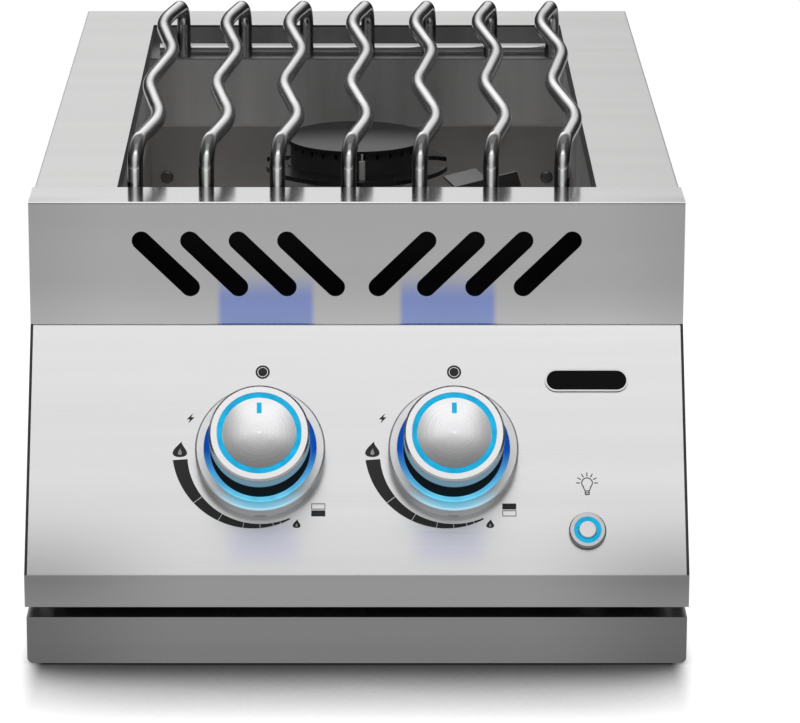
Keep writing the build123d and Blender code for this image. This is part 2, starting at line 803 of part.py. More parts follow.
# Valves, knobs and bezels along the normal of the sloped panel
for name, x in knobs.items():
    with BuildPart() as bezel:
        with BuildSketch(panel_plane(x, knob_s)):
            Circle(bezel_r)
            Circle(bezel_r - bezel_wall, mode=Mode.SUBTRACT)
        extrude(amount=bezel_h)
        front_rim = bezel.faces().sort_by(Axis(panel_plane(x, knob_s).origin, axis_out))[-1]
        chamfer(front_rim.outer_wire().edges(), bezel_wall / 5)
        with BuildSketch(panel_plane(x, knob_s)):
            with Locations((0, bezel_wall / 2 - bezel_r)):
                Rectangle(bezel_slot_w, 2 * bezel_wall)
        extrude(amount=bezel_slot_h, mode=Mode.SUBTRACT)
    save(bezel, f"{name}_bezel")

    side_view = Plane(
        origin=panel_plane(x, knob_s).origin, x_dir=(1, 0, 0), z_dir=axis_down
    )
    spin = Axis(panel_plane(x, knob_s).origin, axis_out)
    with BuildPart() as lens:
        lens_r = bezel_r - bezel_wall - fit
        with BuildSketch(side_view):
            with BuildLine():
                Polyline(
                    (lens_r - lens_wall, 0),
                    (lens_r, 0),
                    (lens_r, lens_h),
                    (lens_r - lens_slope, lens_floor),
                    (lens_r - lens_wall, lens_floor),
                    close=True,
                )
            make_face()
        revolve(axis=spin)
    save(lens, f"{name}_bezel_light")

    inlay_floor = knob_front - inlay_t
    inlay_r = knob_r - knob_rim
    face_r = inlay_r - light_w
    with BuildPart() as shell:
        with BuildSketch(side_view):
            with BuildLine():
                Polyline(
                    (stem_r + spindle_run, knob_lift + knob_wall),
                    (knob_hub_r, knob_lift + knob_wall),
                    (knob_hub_r, inlay_floor - knob_top),
                    (knob_r - knob_wall, inlay_floor - knob_top),
                    (knob_r - knob_wall, knob_lift),
                    (knob_r, knob_lift),
                    (knob_r, knob_front - bend_r),
                    (knob_r - bend_r, knob_front),
                    (inlay_r, knob_front),
                    (inlay_r, inlay_floor),
                    (0, inlay_floor),
                    (0, inlay_floor - knob_top),
                    (stem_r + spindle_run, inlay_floor - knob_top),
                    close=True,
                )
            make_face()
        revolve(axis=spin)
    save(shell, f"{name}_knob_shell")

    with BuildPart() as ring:
        with BuildSketch(panel_plane(x, knob_s, inlay_floor)):
            Circle(inlay_r - inlay_gap)
            Circle(face_r + inlay_gap, mode=Mode.SUBTRACT)
        extrude(amount=inlay_t)
    save(ring, f"{name}_knob_ring")

    with BuildPart() as face:
        with BuildSketch(side_view):
            with BuildLine():
                Polyline(
                    (0, knob_front + face_dome),
                    (0, inlay_floor),
                    (face_r, inlay_floor),
                    (face_r, knob_front),
                )
                TangentArc(
                    (0, knob_front + face_dome), (face_r, knob_front), tangent=(1, 0)
                )
            make_face()
        revolve(axis=spin)
    save(face, f"{name}_knob_face")

    with BuildPart() as stem:
        with BuildSketch(panel_plane(x, knob_s, stem_back + push)):
            Circle(stem_r)
        extrude(amount=inlay_floor - knob_top - stem_back - push)
        with BuildSketch(panel_plane(x, knob_s, stem_back + push)):
            with Locations((0, 2 * stem_flat)):
                Rectangle(2 * stem_r, 2 * stem_flat)
        extrude(amount=plug_w - stem_back, mode=Mode.SUBTRACT)
    save(stem, f"{name}_valve_stem")

    with BuildPart() as plug:
        with BuildSketch(panel_plane(x, knob_s, plug_w - plug_end)):
            Circle(plug_r)
        extrude(amount=-plug_l)
        with BuildSketch(panel_plane(x, knob_s, plug_w - plug_end)) as key:
            Circle(stem_r + spindle_run)
            with Locations((0, 2 * stem_flat + spindle_run)):
                Rectangle(2 * stem_r + fit, 2 * stem_flat, mode=Mode.SUBTRACT)
        extrude(amount=stem_back - plug_w - fit, mode=Mode.SUBTRACT)
    save(plug, f"{name}_valve_plug")

    with BuildPart() as valve:
        with BuildSketch(panel_plane(x, knob_s, -valve_set)):
            Circle(valve_r)
        extrude(amount=valve_end + valve_set)
        with BuildSketch(
            Plane(
                origin=panel_plane(x, knob_s, manifold_w).origin,
                x_dir=(1, 0, 0),
                z_dir=axis_down,
            )
        ):
            Circle(saddle_r)
        extrude(amount=manifold_down)
        with BuildSketch(panel_plane(x, knob_s, plug_w)):
            Circle(plug_r + plug_clear)
        extrude(amount=-plug_l - 2 * plug_end, mode=Mode.SUBTRACT)
        with BuildSketch(panel_plane(x, knob_s, -valve_set)):
            Circle(stem_r + stem_hole)
        extrude(amount=-bonnet_t, mode=Mode.SUBTRACT)
        with BuildSketch(
            Plane(
                origin=panel_plane(x - bezel_r, knob_s + manifold_down, manifold_w).origin,
                x_dir=(0, 1, 0),
                z_dir=(1, 0, 0),
            )
        ):
            Circle(manifold_r + saddle_gap)
        extrude(amount=2 * bezel_r, mode=Mode.SUBTRACT)
    save(valve, f"{name}_valve_body")

# Manifold under the valves, with the feed that runs to the back
pipe_d = pipe.Y - front_y
fitting_d = case_rear - 2 * sheet - nut_l
with BuildPart() as manifold:
    with BuildSketch(Plane.YZ.offset(-knob_x - manifold_end)):
        with Locations((pipe.Y, pipe.Z)):
            Circle(manifold_r)
    extrude(amount=2 * (knob_x + manifold_end))
    feed_points = [
        (knob_x + manifold_end, pipe_d, pipe.Z),
        (feed_x, pipe_d, pipe.Z),
        (feed_x, fitting_d, pipe.Z),
    ]
    with BuildLine() as feed_line:
        add(tube_path(feed_points, feed_bend))
    with BuildSketch(Plane(origin=feed_line.line @ 0, z_dir=feed_line.line % 0)):
        Circle(feed_r)
    sweep()
save(manifold, "manifold")

# Inlet fitting: nut and collar at the rear panel, relief and flared thread outside
with BuildPart() as inlet_fitting:
    with BuildSketch(Plane.XZ.offset(-(front_y + fitting_d))):
        with Locations((feed_x, pipe.Z)):
            RegularPolygon(nut_flat / 2, 6, major_radius=False)
    extrude(amount=-nut_l)
    with BuildSketch(Plane.XZ.offset(-(front_y + fitting_d + nut_l))):
        with Locations((feed_x, pipe.Z)):
            Circle(flare_collar_r)
    extrude(amount=-2 * sheet)
    with BuildSketch(Plane.XZ.offset(-(front_y + case_rear))):
        with Locations((feed_x, pipe.Z)):
            Circle(flare_r - flare_relief / 2)
    extrude(amount=-flare_relief)
    with BuildSketch(Plane.XZ.offset(-(front_y + case_rear + flare_relief))):
        with Locations((feed_x, pipe.Z)):
            Circle(flare_r)
    extrude(amount=flare_relief - flare_l)
    chamfer(inlet_fitting.edges().group_by(Axis.Y)[-1], flare_r / 5)
    with BuildSketch(Plane.XZ.offset(-(front_y + case_rear + flare_l))):
        with Locations((feed_x, pipe.Z)):
            Circle(flare_bore)
    extrude(amount=flare_l, mode=Mode.SUBTRACT)
save(inlet_fitting, "inlet_fitting")

# Supply tubes from the valves to the jets under the burners
for name, x, where in (
    ("front", -knob_x, front_burner_at),
    ("rear", knob_x, rear_burner_at),
):
    start = panel_plane(x, knob_s, valve_end).origin
    turn = start - axis_out * tube_first
    end_d = where - jet_stub
    tube_points = [
        (x, start.Y - front_y, start.Z),
        (x, turn.Y - front_y, turn.Z),
        (x, end_d - tube_last - tube_slant, turn.Z),
        (0, end_d - tube_last, jet_z),
        (0, end_d, jet_z),
    ]
    with BuildPart() as tube:
        with BuildLine() as tube_line:
            add(tube_path(tube_points, tube_bend))
        with BuildSketch(Plane(origin=tube_line.line @ 0, z_dir=tube_line.line % 0)):
            Circle(tube_r)
        sweep()
    save(tube, f"{name}_supply_tube")

# Push button for the lights, with its ring lens and clamping nut
with BuildPart() as button_housing:
    with BuildSketch(panel_plane(button_x, button_s)):
        Circle(button_bezel_r)
    extrude(amount=button_bezel_h)
    button_rim = button_housing.edges().sort_by(
        Axis(panel_plane(button_x, button_s).origin, axis_out)
    )[-1]
    fillet(button_rim, button_bezel_h / 3)
    with BuildSketch(panel_plane(button_x, button_s)):
        Circle(button_barrel_r)
    extrude(amount=-button_barrel_l)
    with BuildSketch(panel_plane(button_x, button_s, button_bezel_h)):
        Circle(button_ring_out)
    extrude(amount=-button_ring_deep, mode=Mode.SUBTRACT)
    with BuildSketch(panel_plane(button_x, button_s, button_bezel_h)):
        Circle(button_plunger_r + button_run)
    extrude(amount=-button_plunger_l - button_press, mode=Mode.SUBTRACT)
save(button_housing, "button_housing")

with BuildPart() as button_light:
    with BuildSketch(panel_plane(button_x, button_s, button_bezel_h - button_ring_deep)):
        Circle(button_ring_out - fit / 2)
        Circle(button_ring_in, mode=Mode.SUBTRACT)
    extrude(amount=button_ring_deep)
save(button_light, "button_light")

with BuildPart() as button_plunger:
    with BuildSketch(panel_plane(button_x, button_s, button_bezel_h + button_proud)):
        Circle(button_plunger_r)
    extrude(amount=-button_plunger_l)
    plunger_rim = button_plunger.edges().sort_by(
        Axis(panel_plane(button_x, button_s).origin, axis_out)
    )[-1]
    fillet(plunger_rim, button_proud / 2)
save(button_plunger, "button_plunger")

with BuildPart() as button_nut:
    with BuildSketch(panel_plane(button_x, button_s, -sheet)):
        RegularPolygon(nut_af / 2, 6, major_radius=False)
        Circle(button_barrel_r + fit / 2, mode=Mode.SUBTRACT)
    extrude(amount=-nut_t)
save(button_nut, "button_nut")

# Ignition module on the heat shield, its leads, and the guard in the pan
with BuildPart() as ignition_module:
    with BuildSketch(Plane.XZ.offset(-(front_y + strip_d))):
        with Locations((module_x, lead_z)):
            RectangleRounded(module_w, module_h, tray_corner)
    extrude(amount=module_d)
save(ignition_module, "ignition_module")

with BuildPart() as ignition_leads:
    for where, x in (
        (front_burner_at - spark_ring_r, module_x + lead_gap / 2),
        (rear_burner_at - spark_ring_r, module_x - lead_gap / 2),
    ):
        lead_points = [
            (spark_x, where, floor_z - spark_tail),
            (spark_x, where, lead_z),
            (x, where, lead_z),
            (x, strip_d, lead_z),
        ]
        with BuildLine() as lead_line:
            add(tube_path(lead_points, lead_bend))
        with BuildSketch(Plane(origin=lead_line.line @ 0, z_dir=lead_line.line % 0)):
            Circle(lead_r)
        sweep()
save(ignition_leads, "ignition_leads")

guard_plane = Plane(
    origin=(well_w / 2 - guard_in, front_y + rear_burner_at - guard_ahead, floor_z),
    x_dir=(cos(radians(guard_turn)), sin(radians(guard_turn)), 0),
    z_dir=(0, 0, 1),
)
guard_wall = Plane(
    origin=guard_plane.origin, x_dir=guard_plane.x_dir, z_dir=-guard_plane.y_dir
)
with BuildPart() as igniter_guard:
    with BuildSketch(guard_wall):
        with BuildLine():
            Polyline(
                (0, 0),
                (guard_l, 0),
                (guard_l + guard_nose, guard_h - guard_nose_drop),
                (guard_l, guard_h),
                (0, guard_h),
                close=True,
            )
        make_face()
    extrude(amount=sheet)
    with BuildSketch(guard_plane.offset(guard_h)):
        with BuildLine():
            Polyline(
                (0, -sheet),
                (guard_top_l, -sheet),
                (guard_top_l + guard_skew, guard_top_w),
                (guard_skew, guard_top_w),
                close=True,
            )
        make_face()
    extrude(amount=-sheet)
save(igniter_guard, "igniter_guard")

# Power socket in the rear panel
with BuildPart() as power_inlet:
    with BuildSketch(Plane.XZ.offset(-(front_y + case_rear))):
        with Locations((jack_x, jack_z)):
            Circle(jack_flange_r)
    extrude(amount=-2 * sheet)
    with BuildSketch(Plane.XZ.offset(-(front_y + case_rear))):
        with Locations((jack_x, jack_z)):
            Circle(jack_r)
    extrude(amount=jack_l)
    with BuildSketch(Plane.XZ.offset(-(front_y + case_rear + 2 * sheet))):
        with Locations((jack_x, jack_z)):
            Circle(jack_r - sheet)
            Circle(sheet, mode=Mode.SUBTRACT)
    extrude(amount=jack_l / 2, mode=Mode.SUBTRACT)
save(power_inlet, "power_inlet")

# Screws: two in the back wall of the pan, six in the rear panel
with BuildPart() as pan_screws:
    for side in (-1, 1):
        with BuildSketch(Plane.XZ.offset(-(front_y + well_low_rear))):
            with Locations((side * pan_screw_x, floor_z + pan_screw_up)):
                Circle(screw_head_r)
        extrude(amount=screw_head_h)
        with BuildSketch(Plane.XZ.offset(-(front_y + well_low_rear))):
            with Locations((side * pan_screw_x, floor_z + pan_screw_up)):
                Circle(screw_r)
        extrude(amount=-screw_l)
    fillet(pan_screws.edges().group_by(Axis.Y)[0], screw_head_h / 2)
save(pan_screws, "pan_screws")

with BuildPart() as panel_screws:
    for spot in rear_screws:
        with BuildSketch(Plane.XZ.offset(-(front_y + case_rear))):
            with Locations(spot):
                Circle(screw_head_r)
        extrude(amount=-screw_head_h)
    fillet(panel_screws.edges().group_by(Axis.Y)[-1], screw_head_h / 2)
save(panel_screws, "panel_screws")
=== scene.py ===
"""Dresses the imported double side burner: materials, printed marks, light and camera.

Metres, in the frame of the CAD model: X to the right, Y to the back, Z up.
"""

import json
from math import cos, pi, radians, sin

import bpy
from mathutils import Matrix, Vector


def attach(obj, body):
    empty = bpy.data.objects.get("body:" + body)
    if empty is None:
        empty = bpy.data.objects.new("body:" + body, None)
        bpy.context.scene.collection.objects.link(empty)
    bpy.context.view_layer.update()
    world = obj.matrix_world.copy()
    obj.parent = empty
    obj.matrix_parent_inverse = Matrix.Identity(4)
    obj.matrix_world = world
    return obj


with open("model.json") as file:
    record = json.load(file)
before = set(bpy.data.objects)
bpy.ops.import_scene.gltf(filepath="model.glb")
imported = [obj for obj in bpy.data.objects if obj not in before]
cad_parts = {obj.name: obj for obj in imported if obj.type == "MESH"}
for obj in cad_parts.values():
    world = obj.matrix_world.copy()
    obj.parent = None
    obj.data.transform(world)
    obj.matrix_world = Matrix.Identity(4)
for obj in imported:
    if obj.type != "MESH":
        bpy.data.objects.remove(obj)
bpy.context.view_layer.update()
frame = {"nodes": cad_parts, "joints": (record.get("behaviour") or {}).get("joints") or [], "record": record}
nodes = frame["nodes"]
slots = {part["node"]: part["material_slot"] for part in frame["record"]["subparts"]}
joints = {joint["name"]: joint for joint in frame["joints"]}

MM = 0.001
ORIGIN = Vector((0, 0, 0))
BACKWARDS = Vector((0, 1, 0))

# Sockets of a Mix node: its factor, and the pairs and results for numbers and colours
MIX_FACTOR = 0
MIX_NUMBERS = (2, 3)
MIX_NUMBER = 0
MIX_COLOURS = (6, 7)
MIX_COLOUR = 2

# Sloped panel: its outward normal, its way up, and the knob centres on it
panel_out = Vector(joints["left_knob_turn"]["axis"]).normalized()
panel_right = Vector((1, 0, 0))
panel_up = panel_out.cross(panel_right).normalized()
knob_centres = {
    side: Vector(joints[f"{side}_knob_turn"]["pos_m"]) for side in ("left", "right")
}
knob_line = knob_centres["left"] - panel_right * knob_centres["left"].x

# Camera as in the photograph
camera_lens = 198.0
camera_sensor = 36.0
camera_pitch = radians(15.66)
camera_place = Vector((0.0, -2.3584, 0.739))
camera_shift_x = 0.054

# Floor: its tones for the camera, for light and in mirrors, and the shadow it keeps
floor_half = 2.0
floor_rough = 0.9
floor_tone = 0.36
floor_mirrored = 0.31
floor_darkens = (0.25, 0.55)
shadow_reach = 0.094
shadow_depth = 4.3
shadow_samples = 16
shadow_block = {
    "middle": (0, -0.3, 0),
    "half": (0.1635, 0.96, 1.0),
    "soft": (0.007, 0.02, 0.1),
}
shadow_outside = 0.1

# Surround, by direction: a wall behind that dims to the right, and a ceiling
wall_level = 1.05
wall_y = (0.15, 0.8)
wall_z = (0.06, 0.27)
wall_x = (0.0, 0.14)
wall_right = 0.72
ceiling_level = 0.4
dim_level = 0.05
key_light = {
    "stand": (0.0, -1.03, 2.16),
    "aim": (0.0, -0.12, 0.38),
    "width": 1.7,
    "height": 1.75,
    "power": 10.0,
}
top_light = {
    "stand": (0.0, 0.55, 2.4),
    "aim": (0.0, 0.0, 0.1),
    "width": 2.6,
    "height": 1.4,
    "power": 6.0,
}

# Printed marks on the panel, in millimetres from a knob's centre
print_lift = 0.08
off_mark_place = (0.8, 43.4)
off_mark_r = 3.6
off_mark_line = 0.95
off_dot_r = 2.3
bolt_place = (-35.2, 18.8)
bolt_outline = [(1.2, 2.7), (-1.9, -0.5), (-0.3, -0.5), (-1.2, -2.7), (1.9, 0.6), (0.3, 0.6)]
high_flame_place = (-40.4, 2.6)
high_flame_h = 8.4
low_flame_angle = 296.6
low_flame_r = 40.7
low_flame_h = 4.6
gauge_r_in = 36.6
gauge_r_high = 44.0
gauge_r_low = 37.3
gauge_marks = [184.0, 217.6, 239.0, 257.4, 270.0, 280.0, 285.8, 294.0]
gauge_gap = 0.24
gauge_step = 2
which_x = {"left": 29.0, "right": 27.8}
which_up = -29.3
which_w = 7.0
which_h = 3.1
which_gap = 0.5
which_line = 0.35

# Flame marks, as shares of their height, and the pale heart in them
flame_w = 0.86
flame_belly = 0.77
flame_lean = 0.1
heart_h = 0.42
heart_w = 0.24
heart_drop = 0.16
heart_lift = 1.6

# Lamp mark and blank plate, in millimetres from the middle of the knob line
bulb_place = (115.0, -16.5)
bulb_r = 2.9
bulb_up = 1.3
bulb_line = 0.48
bulb_open = 0.86
bulb_rays = 7
ray_from = 3.5
ray_to = 5.5
neck_top = 1.9
neck_foot = 1.0
neck_h = 2.0
neck_drop = 0.75
socket_h = 1.9
socket_lines = 3
plate_place = (115.6, 38.9)
plate_w = 42.0
plate_h = 12.0
plate_rim = 0.9
plate_t = 0.8
plate_sunk = 0.8

# Knob dome and the pointer bar on it, in millimetres
dome_front = 34.0
dome_rise = 2.5
dome_r = 18.2
pointer_from = 9.6
pointer_to = 15.4
pointer_w = 2.4
pointer_steps = 6

# Knob lights, the painted glow on the bezels and knob shells, and the skirt, in millimetres from the panel
# or along it
lens_deep = (0.004, 0.075, 0.42)
lens_pale = (0.16, 0.66, 0.90)
lens_base = (0.004, 0.02, 0.08)
lens_fade = 26.0
lens_foot = (3.2, 3.4)
# painted glow on the bezels, which are no lamps: blue on the front, and a painted reflection of the panel on
# the wall
bezel_glow = (0.06, 0.36, 0.52)
painted_wall_reflection = (0.12, 0.125, 0.125)
bezel_glow_up = (-31.0, -20.0)
bezel_glow_out = (8.6, 9.8)
skirt_top = (31.5, 31.7)
band_foot = (23.0, 25.0)
# painted blue glow on a band of the knob shell
painted_band_glow = (0.14, 0.27, 0.36)

# Grid rods: which directions of the surface get painted shade or a painted highlight, and where the front
# legs end
rod_sides = (0.32, 0.78)
rod_bend = (-0.30, -0.06)
rod_front = (-0.93, -0.78)
rod_core = (0.08, 0.36)
rod_legs = (-120.0, -60.0)
rod_painted_shade = (0.17, 0.17, 0.17)
rod_painted_highlight = (0.42, 0.42, 0.42)

# Burner caps: painted sheen, from where to where they lighten, in millimetres behind the middle
cap_sheen_span = (-34.0, 20.0)
cap_top = (0.6, 0.95)
cap_dark = (0.018, 0.018, 0.018)
cap_bright = (0.26, 0.255, 0.256)

# Grain of the materials, in features per metre
line_scale = (6, 1500, 1500)
band_scale = (1.2, 45, 45)
blot_scale = (22, 22, 22)
# vertical streaks for the painted reflections in the well walls
reflection_streak_scale = (16, 16, 1.2)
wear_scale = (35, 35, 35)
ring_scale = 1800.0
spangle_scale = 110
brush_way = (1.0, 0.02, 0.01)


def patch(middle, half, soft, tint):
    """Soft block of painted shade or painted light on a sheet: darker, lighter or blue."""
    return {"middle": middle, "half": half, "soft": soft, "tint": tint}


# Painted light and shade across the whole width, by node
width_light_and_shade = {
    # painted shade: the panel's lip darker
    "control_panel": patch(
        (0, -0.3, 0.03), (0.5, 0.1, 0.0185), (0.01, 0.01, 0.0006), (0.90, 0.90, 0.90)
    ),
    # painted light: a lighter band across the fascia
    "front_fascia": patch(
        (0, -0.21, 0.150), (0.5, 0.01, 0.012), (0.01, 0.005, 0.022), (1.33, 1.33, 1.33)
    ),
    # painted shadow: a dark line on the edge of the deck's opening
    "deck": patch(
        (0, 0.0322, 0.219), (0.1235, 0.2115, 0.0008), (0.0005, 0.0005, 0.0001), (0.08, 0.08, 0.08)
    ),
    # painted shadow: the top of the well walls darker, under the deck's edge
    "well_frame": patch(
        (0, 0, 0.2140), (0.5, 0.5, 0.0056), (0.01, 0.01, 0.0004), (0.40, 0.40, 0.40)
    ),
    # painted highlight: a thin light line round the pan at its seam
    "burner_pan": patch(
        (0, 0, 0.1684), (0.5, 0.5, 0.0006), (0.01, 0.01, 0.0001), (1.5, 1.5, 1.5)
    ),
}

# Painted light and shade on both sides: painted blue reflections of the knob lights above and below the
# knobs, and painted shade at the fascia ends and lower corners
# painted reflection of the blue knob lights on the fascia above the knobs
painted_fascia_reflection = patch(
    (0.0459, -0.21, 0.156), (0.0237, 0.01, 0.021), (0.002, 0.005, 0.008), (0.50, 0.63, 1.22)
)
# painted shade: the ends of the fascia darker
fascia_end_shade = patch(
    (0.165, -0.21, 0.18), (0.02, 0.01, 0.1), (0.03, 0.005, 0.01), (0.86, 0.86, 0.86)
)
# painted reflection of the knob lights on the panel below the knobs
painted_panel_reflection = patch(
    (0.0463, -0.28, 0.0618), (0.0165, 0.05, 0.0068), (0.006, 0.01, 0.004), (0.90, 0.905, 1.03)
)
# painted shade: the lower corners of the panel darker
panel_corner_shade = patch(
    (0.165, -0.28, 0.045), (0.045, 0.05, 0.012), (0.045, 0.01, 0.03), (0.50, 0.50, 0.50)
)
# painted shade: the corners of the drip tray front darker
tray_corner_shade = patch(
    (0.165, -0.28, 0.012), (0.035, 0.05, 0.02), (0.05, 0.01, 0.01), (0.62, 0.62, 0.62)
)
side_light_and_shade = (
    ("front_fascia", painted_fascia_reflection),
    ("front_fascia", fascia_end_shade),
    ("control_panel", painted_panel_reflection),
    ("control_panel", panel_corner_shade),
    ("drip_tray_front", tray_corner_shade),
)


# Material nodes


def shader(name):
    """New material, its node tree and its Principled shader."""
    material = bpy.data.materials.new(name)
    material.use_nodes = True
    return material, material.node_tree, material.node_tree.nodes["Principled BSDF"]


def added(tree, kind, **settings):
    """New shader node of a kind, with its settings."""
    node = tree.nodes.new(f"ShaderNode{kind}")
    for label, value in settings.items():
        setattr(node, label, value)
    return node


def fill(tree, socket, source):
    """Links a socket to another one, or sets a number, a vector or a colour on it."""
    if isinstance(source, bpy.types.NodeSocket):
        tree.links.new(source, socket)
    elif socket.type == "RGBA":
        socket.default_value = (*source, 1.0)
    else:
        socket.default_value = source


def fill_all(tree, node, sources):
    """Fills a node's inputs by their names."""
    for label, source in sources.items():
        fill(tree, node.inputs[label], source)


def vector_math(tree, operation, vector, other=None):
    """Outputs of a Vector Math node for one or two vectors."""
    node = added(tree, "VectorMath", operation=operation)
    fill(tree, node.inputs[0], vector)
    if other is not None:
        fill(tree, node.inputs[1], other)
    return node.outputs


def joined(tree, operation, first, *others):
    """Values joined one after the other by Math nodes."""
    for other in others:
        node = added(tree, "Math", operation=operation)
        fill(tree, node.inputs[0], first)
        fill(tree, node.inputs[1], other)
        first = node.outputs["Value"]
    return first


def frame_place(tree):
    """Position in the frame of the point that is shaded."""
    return added(tree, "TexCoord").outputs["Object"]


def arm_from(tree, point):
    """Vector in metres from a point of the frame."""
    return vector_math(tree, "SUBTRACT", frame_place(tree), point)["Vector"]


def distance_along(tree, point, way):
    """Distance in millimetres from a point, along a direction."""
    return vector_math(tree, "DOT_PRODUCT", arm_from(tree, point), way / MM)["Value"]


def facing(tree):
    """Direction that the surface faces."""
    return added(tree, "NewGeometry").outputs["Normal"]


def axes(tree, vector):
    """X, Y and Z of a vector."""
    node = added(tree, "SeparateXYZ")
    fill(tree, node.inputs["Vector"], vector)
    return node.outputs["X"], node.outputs["Y"], node.outputs["Z"]


def noise(tree, scale, detail=2.0, rough=0.5):
    """Noise value with the given number of features per metre along each axis."""
    mapping = added(tree, "Mapping")
    fill_all(tree, mapping, {"Vector": frame_place(tree), "Scale": scale})
    node = added(tree, "TexNoise")
    inputs = {"Scale": 1.0, "Detail": detail, "Roughness": rough}
    fill_all(tree, node, {"Vector": mapping.outputs["Vector"], **inputs})
    return node.outputs["Fac"]


def even_noise(tree, scale, detail=2.0, rough=0.5):
    """Noise value with the same number of features per metre along all axes."""
    return noise(tree, (scale, scale, scale), detail, rough)


def cells(tree, scale):
    """One random value for each cell of a crystal pattern."""
    mapping = added(tree, "Mapping")
    fill_all(tree, mapping, {"Vector": frame_place(tree), "Scale": (scale, scale, scale)})
    node = added(tree, "TexVoronoi")
    fill_all(tree, node, {"Vector": mapping.outputs["Vector"], "Scale": 1.0})
    split = added(tree, "SeparateColor")
    fill(tree, split.inputs["Color"], node.outputs["Color"])
    return split.outputs["Red"]


def remapped(tree, value, start, end, low, high, easing):
    """Value taken from start..end to low..high, and clamped."""
    node = added(tree, "MapRange", interpolation_type=easing)
    limits = {"From Min": start, "From Max": end, "To Min": low, "To Max": high}
    fill_all(tree, node, {"Value": value, **limits})
    return node.outputs["Result"]


def spread(tree, value, low, high, start=0.3, end=0.7):
    """Value taken evenly to low..high. The given start and end fit a noise value."""
    return remapped(tree, value, start, end, low, high, "LINEAR")


def eased(tree, value, start, end, low, high):
    """Value eased from low to high between start and end."""
    return remapped(tree, value, start, end, low, high, "SMOOTHSTEP")


def mixed(tree, factor, first, second, blend="MIX"):
    """Two colours mixed by a factor."""
    node = added(tree, "Mix", data_type="RGBA", blend_type=blend)
    fill(tree, node.inputs[MIX_FACTOR], factor)
    for place, colour in zip(MIX_COLOURS, (first, second)):
        fill(tree, node.inputs[place], colour)
    return node.outputs[MIX_COLOUR]


def between(tree, value, dark, light, start=0.3, end=0.7):
    """Colour between two, by a value from start to end."""
    return mixed(tree, spread(tree, value, 0.0, 1.0, start, end), dark, light)


def block(tree, middle, half, soft):
    """Value 1 inside a block about a middle, 0 outside, with soft sides, in metres."""
    away = vector_math(tree, "ABSOLUTE", arm_from(tree, middle))["Vector"]
    inside = (
        eased(tree, distance, reach - edge, reach + edge, 1.0, 0.0)
        for distance, reach, edge in zip(axes(tree, away), half, soft)
    )
    return joined(tree, "MULTIPLY", *inside)


def tinted(material, middle, half, soft, tint):
    """Colour multiplied by a tint inside a soft block."""
    tree = material.node_tree
    base = tree.nodes["Principled BSDF"].inputs["Base Color"]
    plain = base.links[0].from_socket
    fill(tree, base, mixed(tree, block(tree, middle, half, soft), plain, tint, "MULTIPLY"))


def relief(tree, bsdf, height, strength, depth):
    """Bump on the shader from a value, depth in metres."""
    bump = added(tree, "Bump")
    fill_all(tree, bump, {"Height": height, "Strength": strength, "Distance": depth})
    fill(tree, bsdf.inputs["Normal"], bump.outputs["Normal"])


def shade(colour, factor):
    """Colour made darker or lighter."""
    return tuple(min(1.0, channel * factor) for channel in colour)


# Kinds of material


def brushed(name, colour, roughness, anisotropic):
    """Sheet steel brushed along X, with fine lines and faint broad bands."""
    material, tree, bsdf = shader(name)
    lines = noise(tree, line_scale, 3.0, 0.6)
    fine = between(tree, lines, shade(colour, 0.97), shade(colour, 1.02))
    broad = between(tree, noise(tree, band_scale), (0.94, 0.94, 0.94), (1, 1, 1))
    looks = {
        "Metallic": 1.0,
        "Anisotropic": anisotropic,
        "Base Color": mixed(tree, 1.0, fine, broad, "MULTIPLY"),
        "Roughness": spread(tree, lines, roughness - 0.02, roughness + 0.03),
        "Tangent": vector_math(tree, "CROSS_PRODUCT", facing(tree), brush_way)["Vector"],
    }
    fill_all(tree, bsdf, looks)
    relief(tree, bsdf, lines, 0.03, 0.00004)
    return material


def plain_metal(name, colour, roughness, stain=0.12, grain=350, blot=blot_scale):
    """Unbrushed metal with faint stains, fine grain and uneven gloss."""
    material, tree, bsdf = shader(name)
    blots = noise(tree, blot, 4.0, 0.6)
    looks = {
        "Metallic": 1.0,
        "Base Color": between(tree, blots, shade(colour, 1 - stain), shade(colour, 1 + stain / 2)),
        "Roughness": spread(tree, blots, roughness - 0.05, roughness + 0.07),
    }
    fill_all(tree, bsdf, looks)
    relief(tree, bsdf, even_noise(tree, grain, 3.0), 0.08, 0.00006)
    return material


def galvanised(name, colour):
    """Zinc coat with crystal spangle."""
    material, tree, bsdf = shader(name)
    spangle = cells(tree, spangle_scale)
    looks = {
        "Metallic": 0.9,
        "Base Color": mixed(tree, spangle, shade(colour, 0.82), shade(colour, 1.08)),
        "Roughness": spread(tree, spangle, 0.32, 0.5, 0.0, 1.0),
    }
    fill_all(tree, bsdf, looks)
    relief(tree, bsdf, even_noise(tree, 900), 0.06, 0.00005)
    return material


def coated(name, colour, roughness, grain, depth, coat=0.0):
    """Enamel, paint, plastic or rubber with a fine uneven skin."""
    material, tree, bsdf = shader(name)
    skin = even_noise(tree, grain, 4.0, 0.6)
    wear = noise(tree, wear_scale, 3.0)
    looks = {
        "Coat Weight": coat,
        "Coat Roughness": 0.12,
        "Base Color": between(tree, wear, shade(colour, 0.85), shade(colour, 1.15)),
        "Roughness": spread(tree, skin, roughness - 0.06, roughness + 0.08),
    }
    fill_all(tree, bsdf, looks)
    relief(tree, bsdf, skin, 0.15, depth)
    return material


